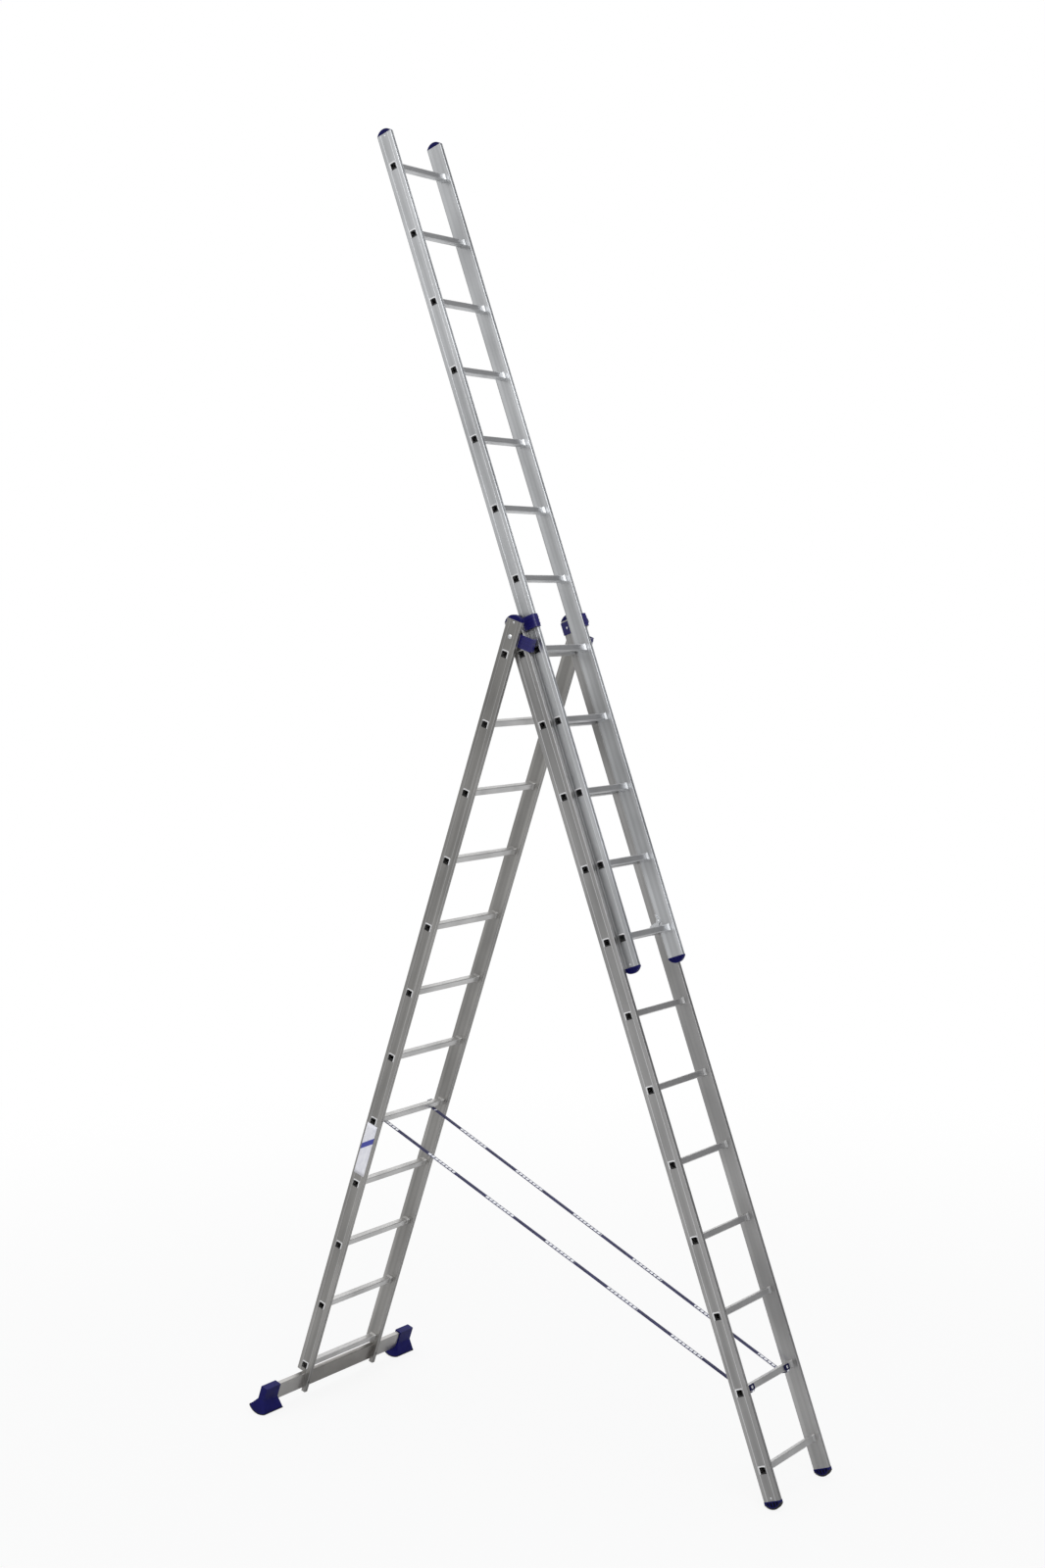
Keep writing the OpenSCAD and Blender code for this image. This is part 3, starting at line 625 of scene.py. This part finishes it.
class LADDER_OT_straps(Operator):
    """Weave the two restraint straps from clip to clip"""

    bl_idname = "ladder.straps"
    bl_label = "Straps"

    def execute(self, context):
        wide = context.scene.ladder.strap_width
        for side, name, node, first_bar in (
            (-1, "webbing_left", "strap_left", 0.27),
            (1, "webbing_right", "strap_right", 0.20),
        ):
            line, first, last = strap_line(side)
            cloth = webbing(name, first_bar)
            self.ribbon(context, name, line, wide, cloth)
            piece = bpy.data.objects[name]
            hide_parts(node, "strap_ends")
            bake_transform(piece)
        return {"FINISHED"}

    def ribbon(self, context, name, line, wide, cloth):
        """Grid laid along the line, unrolled in its UV map, then thickened about its middle"""
        shape = bmesh.new()
        bmesh.ops.create_grid(shape, x_segments=4, y_segments=len(line) - 1, size=0.5)
        unrolled = shape.loops.layers.uv.new("unrolled")
        run = [0.0]
        for a, b in zip(line, line[1:]):
            run.append(run[-1] + (b - a).length)
        place = {}
        for vert in shape.verts:
            step = round((vert.co.y + 0.5) * (len(line) - 1))
            place[vert] = (vert.co.x * wide, run[step])
            vert.co = line[step] + Vector((vert.co.x * wide, 0, 0))
        for face in shape.faces:
            face.smooth = True
            for loop in face.loops:
                loop[unrolled].uv = place[loop.vert]
        shape.normal_update()
        for vert in shape.verts:
            vert.co += vert.normal * STRAP_THICK / 2
        bmesh.ops.solidify(shape, geom=shape.faces[:], thickness=STRAP_THICK)
        bmesh.ops.recalc_face_normals(shape, faces=shape.faces[:])
        mesh = bpy.data.meshes.new(name)
        shape.to_mesh(mesh)
        shape.free()
        mesh.materials.append(cloth)
        context.scene.collection.objects.link(bpy.data.objects.new(name, mesh))


class LADDER_OT_label(Operator):
    """Stick the blank label on the rear stile"""

    bl_idname = "ladder.label"
    bl_label = "Label"

    def execute(self, context):
        low_end, high_end = LABEL_UP
        web = web_at("rear")
        shape = bmesh.new()
        bmesh.ops.create_grid(shape, x_segments=50, y_segments=12, size=0.5)
        for vert in shape.verts:
            y = vert.co.x * LABEL_WIDE
            z = low_end + (vert.co.y + 0.5) * (high_end - low_end)
            over = max(0.0, 1 - max(0.0, abs(abs(y) - RIDGE_AT) - RIDGE_HALF) / RIDGE_SLOPE)
            swell = SWELL * over * over * (3 - 2 * over) + LABEL_THICK
            vert.co = rear_point(-(web + swell), y, z)
        bmesh.ops.recalc_face_normals(shape, faces=shape.faces[:])
        skin = bmesh.ops.extrude_face_region(shape, geom=shape.faces[:])
        for vert in (item for item in skin["geom"] if isinstance(item, bmesh.types.BMVert)):
            vert.co.x -= LABEL_THICK
        bmesh.ops.recalc_face_normals(shape, faces=shape.faces[:])
        for face in shape.faces:
            face.smooth = True
        mesh = bpy.data.meshes.new("blank_label")
        shape.to_mesh(mesh)
        shape.free()
        mesh.materials.append(self.vinyl())
        piece = bpy.data.objects.new("blank_label", mesh)
        context.scene.collection.objects.link(piece)
        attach(piece, "rear_section")
        return {"FINISHED"}

    def vinyl(self):
        """White vinyl with a plain slanting blue band across its upper part"""
        material, tree, shader = new_material("label_vinyl")
        leg = leg_frame(tree, "rear")
        _, y, up = axes(tree, leg)
        top = LABEL_UP[1]
        smudge = noise(tree, scaled(tree, leg, (60, 60, 30)), 1.0, 3.0, 0.6)
        face = ramp(tree, smudge, [(0.35, (0.70, 0.70, 0.76)), (0.65, (0.80, 0.80, 0.84))])
        slant = maths(tree, "ADD", up, both(tree, y, BAND_SLOPE))
        above = maths(tree, "GREATER_THAN", slant, top - BAND_FROM)
        band = both(tree, above, maths(tree, "LESS_THAN", slant, top - BAND_TO))
        tree.links.new(blend_colour(tree, band, face, (0.05, 0.06, 0.32)), shader.inputs["Base Color"])
        tree.links.new(spread(tree, smudge, 0.28, 0.40), shader.inputs["Roughness"])
        bump(tree, shader, smudge, 0.05, 0.0003)
        return material


class LADDER_OT_stage(Operator):
    """Floor, sky and lamps"""

    bl_idname = "ladder.stage"
    bl_label = "Stage"

    def execute(self, context):
        self.floor(context)
        self.sky(context)
        for name, aim, wide, strength in LAMPS:
            data = bpy.data.lights.new(name, "SUN")
            data.angle = math.radians(wide)
            data.energy = strength
            lamp = bpy.data.objects.new(name, data)
            context.scene.collection.objects.link(lamp)
            lamp.matrix_world = Vector(aim).to_track_quat("Z", "Y").to_matrix().to_4x4()
        context.scene.view_settings.view_transform = "Standard"
        return {"FINISHED"}

    def floor(self, context):
        """White floor that keeps the ladder's shadow and fades into the sky"""
        shape = bmesh.new()
        bmesh.ops.create_circle(shape, cap_ends=True, segments=96, radius=FLOOR_RADIUS)
        mesh = bpy.data.meshes.new("floor")
        shape.to_mesh(mesh)
        shape.free()
        floor = bpy.data.objects.new("floor", mesh)
        context.scene.collection.objects.link(floor)
        material, tree, shader = new_material("floor_white")
        shader.inputs["Base Color"].default_value = (0.50, 0.50, 0.50, 1)
        shader.inputs["Roughness"].default_value = 0.95
        shader.inputs["Specular IOR Level"].default_value = 0.0
        glow = tree.nodes.new("ShaderNodeEmission")
        glow.inputs["Strength"].default_value = 1.0
        far = tree.nodes.new("ShaderNodeVectorMath")
        far.operation = "LENGTH"
        tree.links.new(coordinates(tree), far.inputs[0])
        fade = tree.nodes.new("ShaderNodeMapRange")
        fade.interpolation_type = "SMOOTHSTEP"
        fade.inputs["From Min"].default_value = 1.5
        fade.inputs["From Max"].default_value = 7.0
        fade.inputs["To Min"].default_value = 0.88
        fade.inputs["To Max"].default_value = 1.0
        tree.links.new(far.outputs["Value"], fade.inputs["Value"])
        path = tree.nodes.new("ShaderNodeLightPath")
        seen = both(tree, path.outputs["Is Camera Ray"], fade.outputs["Result"])
        mix = tree.nodes.new("ShaderNodeMixShader")
        tree.links.new(seen, mix.inputs["Fac"])
        tree.links.new(shader.outputs[0], mix.inputs[1])
        tree.links.new(glow.outputs[0], mix.inputs[2])
        tree.links.new(mix.outputs[0], tree.nodes["Material Output"].inputs["Surface"])
        mesh.materials.append(material)

    def sky(self, context):
        """White backdrop for the camera, in a soft grey studio that gives metal its edges"""
        world = bpy.data.worlds.new("sky")
        context.scene.world = world
        world.use_nodes = True
        tree = world.node_tree
        back = tree.nodes["Background"]
        way = tree.nodes.new("ShaderNodeTexCoord").outputs["Generated"]
        shade = ramp(tree, axes(tree, way)[2], SKY_BANDS)
        flags = facing(tree, way, FLAG_WAY, 0.84, 0.97)
        shade = blend_colour(tree, flags, shade, (0.10, 0.10, 0.105))
        card = facing(tree, way, CARD_WAY, 0.914, 0.994)
        shade = blend_colour(tree, card, shade, (1.0, 1.0, 1.0))
        path = tree.nodes.new("ShaderNodeLightPath")
        seen = maths(tree, "MAXIMUM", path.outputs["Is Camera Ray"], path.outputs["Is Transmission Ray"])
        ahead = facing(tree, way, BACKDROP_WAY, 0.45, 0.75)
        mirrored = maths(tree, "MULTIPLY", path.outputs["Is Glossy Ray"], ahead)
        seen = maths(tree, "MAXIMUM", seen, mirrored)
        shown = blend_colour(tree, seen, shade, (1, 1, 1))
        tree.links.new(shown, back.inputs["Color"])
        back.inputs["Strength"].default_value = 1.0


class LADDER_PT_panel(Panel):
    """Ladder looks"""

    bl_label = "Ladder"
    bl_idname = "LADDER_PT_panel"
    bl_space_type = "VIEW_3D"
    bl_region_type = "UI"
    bl_category = "Ladder"

    def draw(self, context):
        settings = context.scene.ladder
        for name in ("aluminium", "plastic", "coat", "strap_width"):
            self.layout.prop(settings, name)
        for operator in OPERATORS:
            self.layout.operator(operator.bl_idname)


OPERATORS = (
    LADDER_OT_camera,
    LADDER_OT_straps,
    LADDER_OT_aluminium,
    LADDER_OT_plastics,
    LADDER_OT_metalwork,
    LADDER_OT_label,
    LADDER_OT_stage,
)
CLASSES = (LadderSettings,) + OPERATORS + (LADDER_PT_panel,)


def register():
    for cls in CLASSES:
        bpy.utils.register_class(cls)
    bpy.types.Scene.ladder = PointerProperty(type=LadderSettings)


def unregister():
    del bpy.types.Scene.ladder
    for cls in reversed(CLASSES):
        bpy.utils.unregister_class(cls)


def main():
    register()
    for operator in OPERATORS:
        group, name = operator.bl_idname.split(".")
        getattr(getattr(bpy.ops, group), name)()


if __name__ == "__main__":
    main()
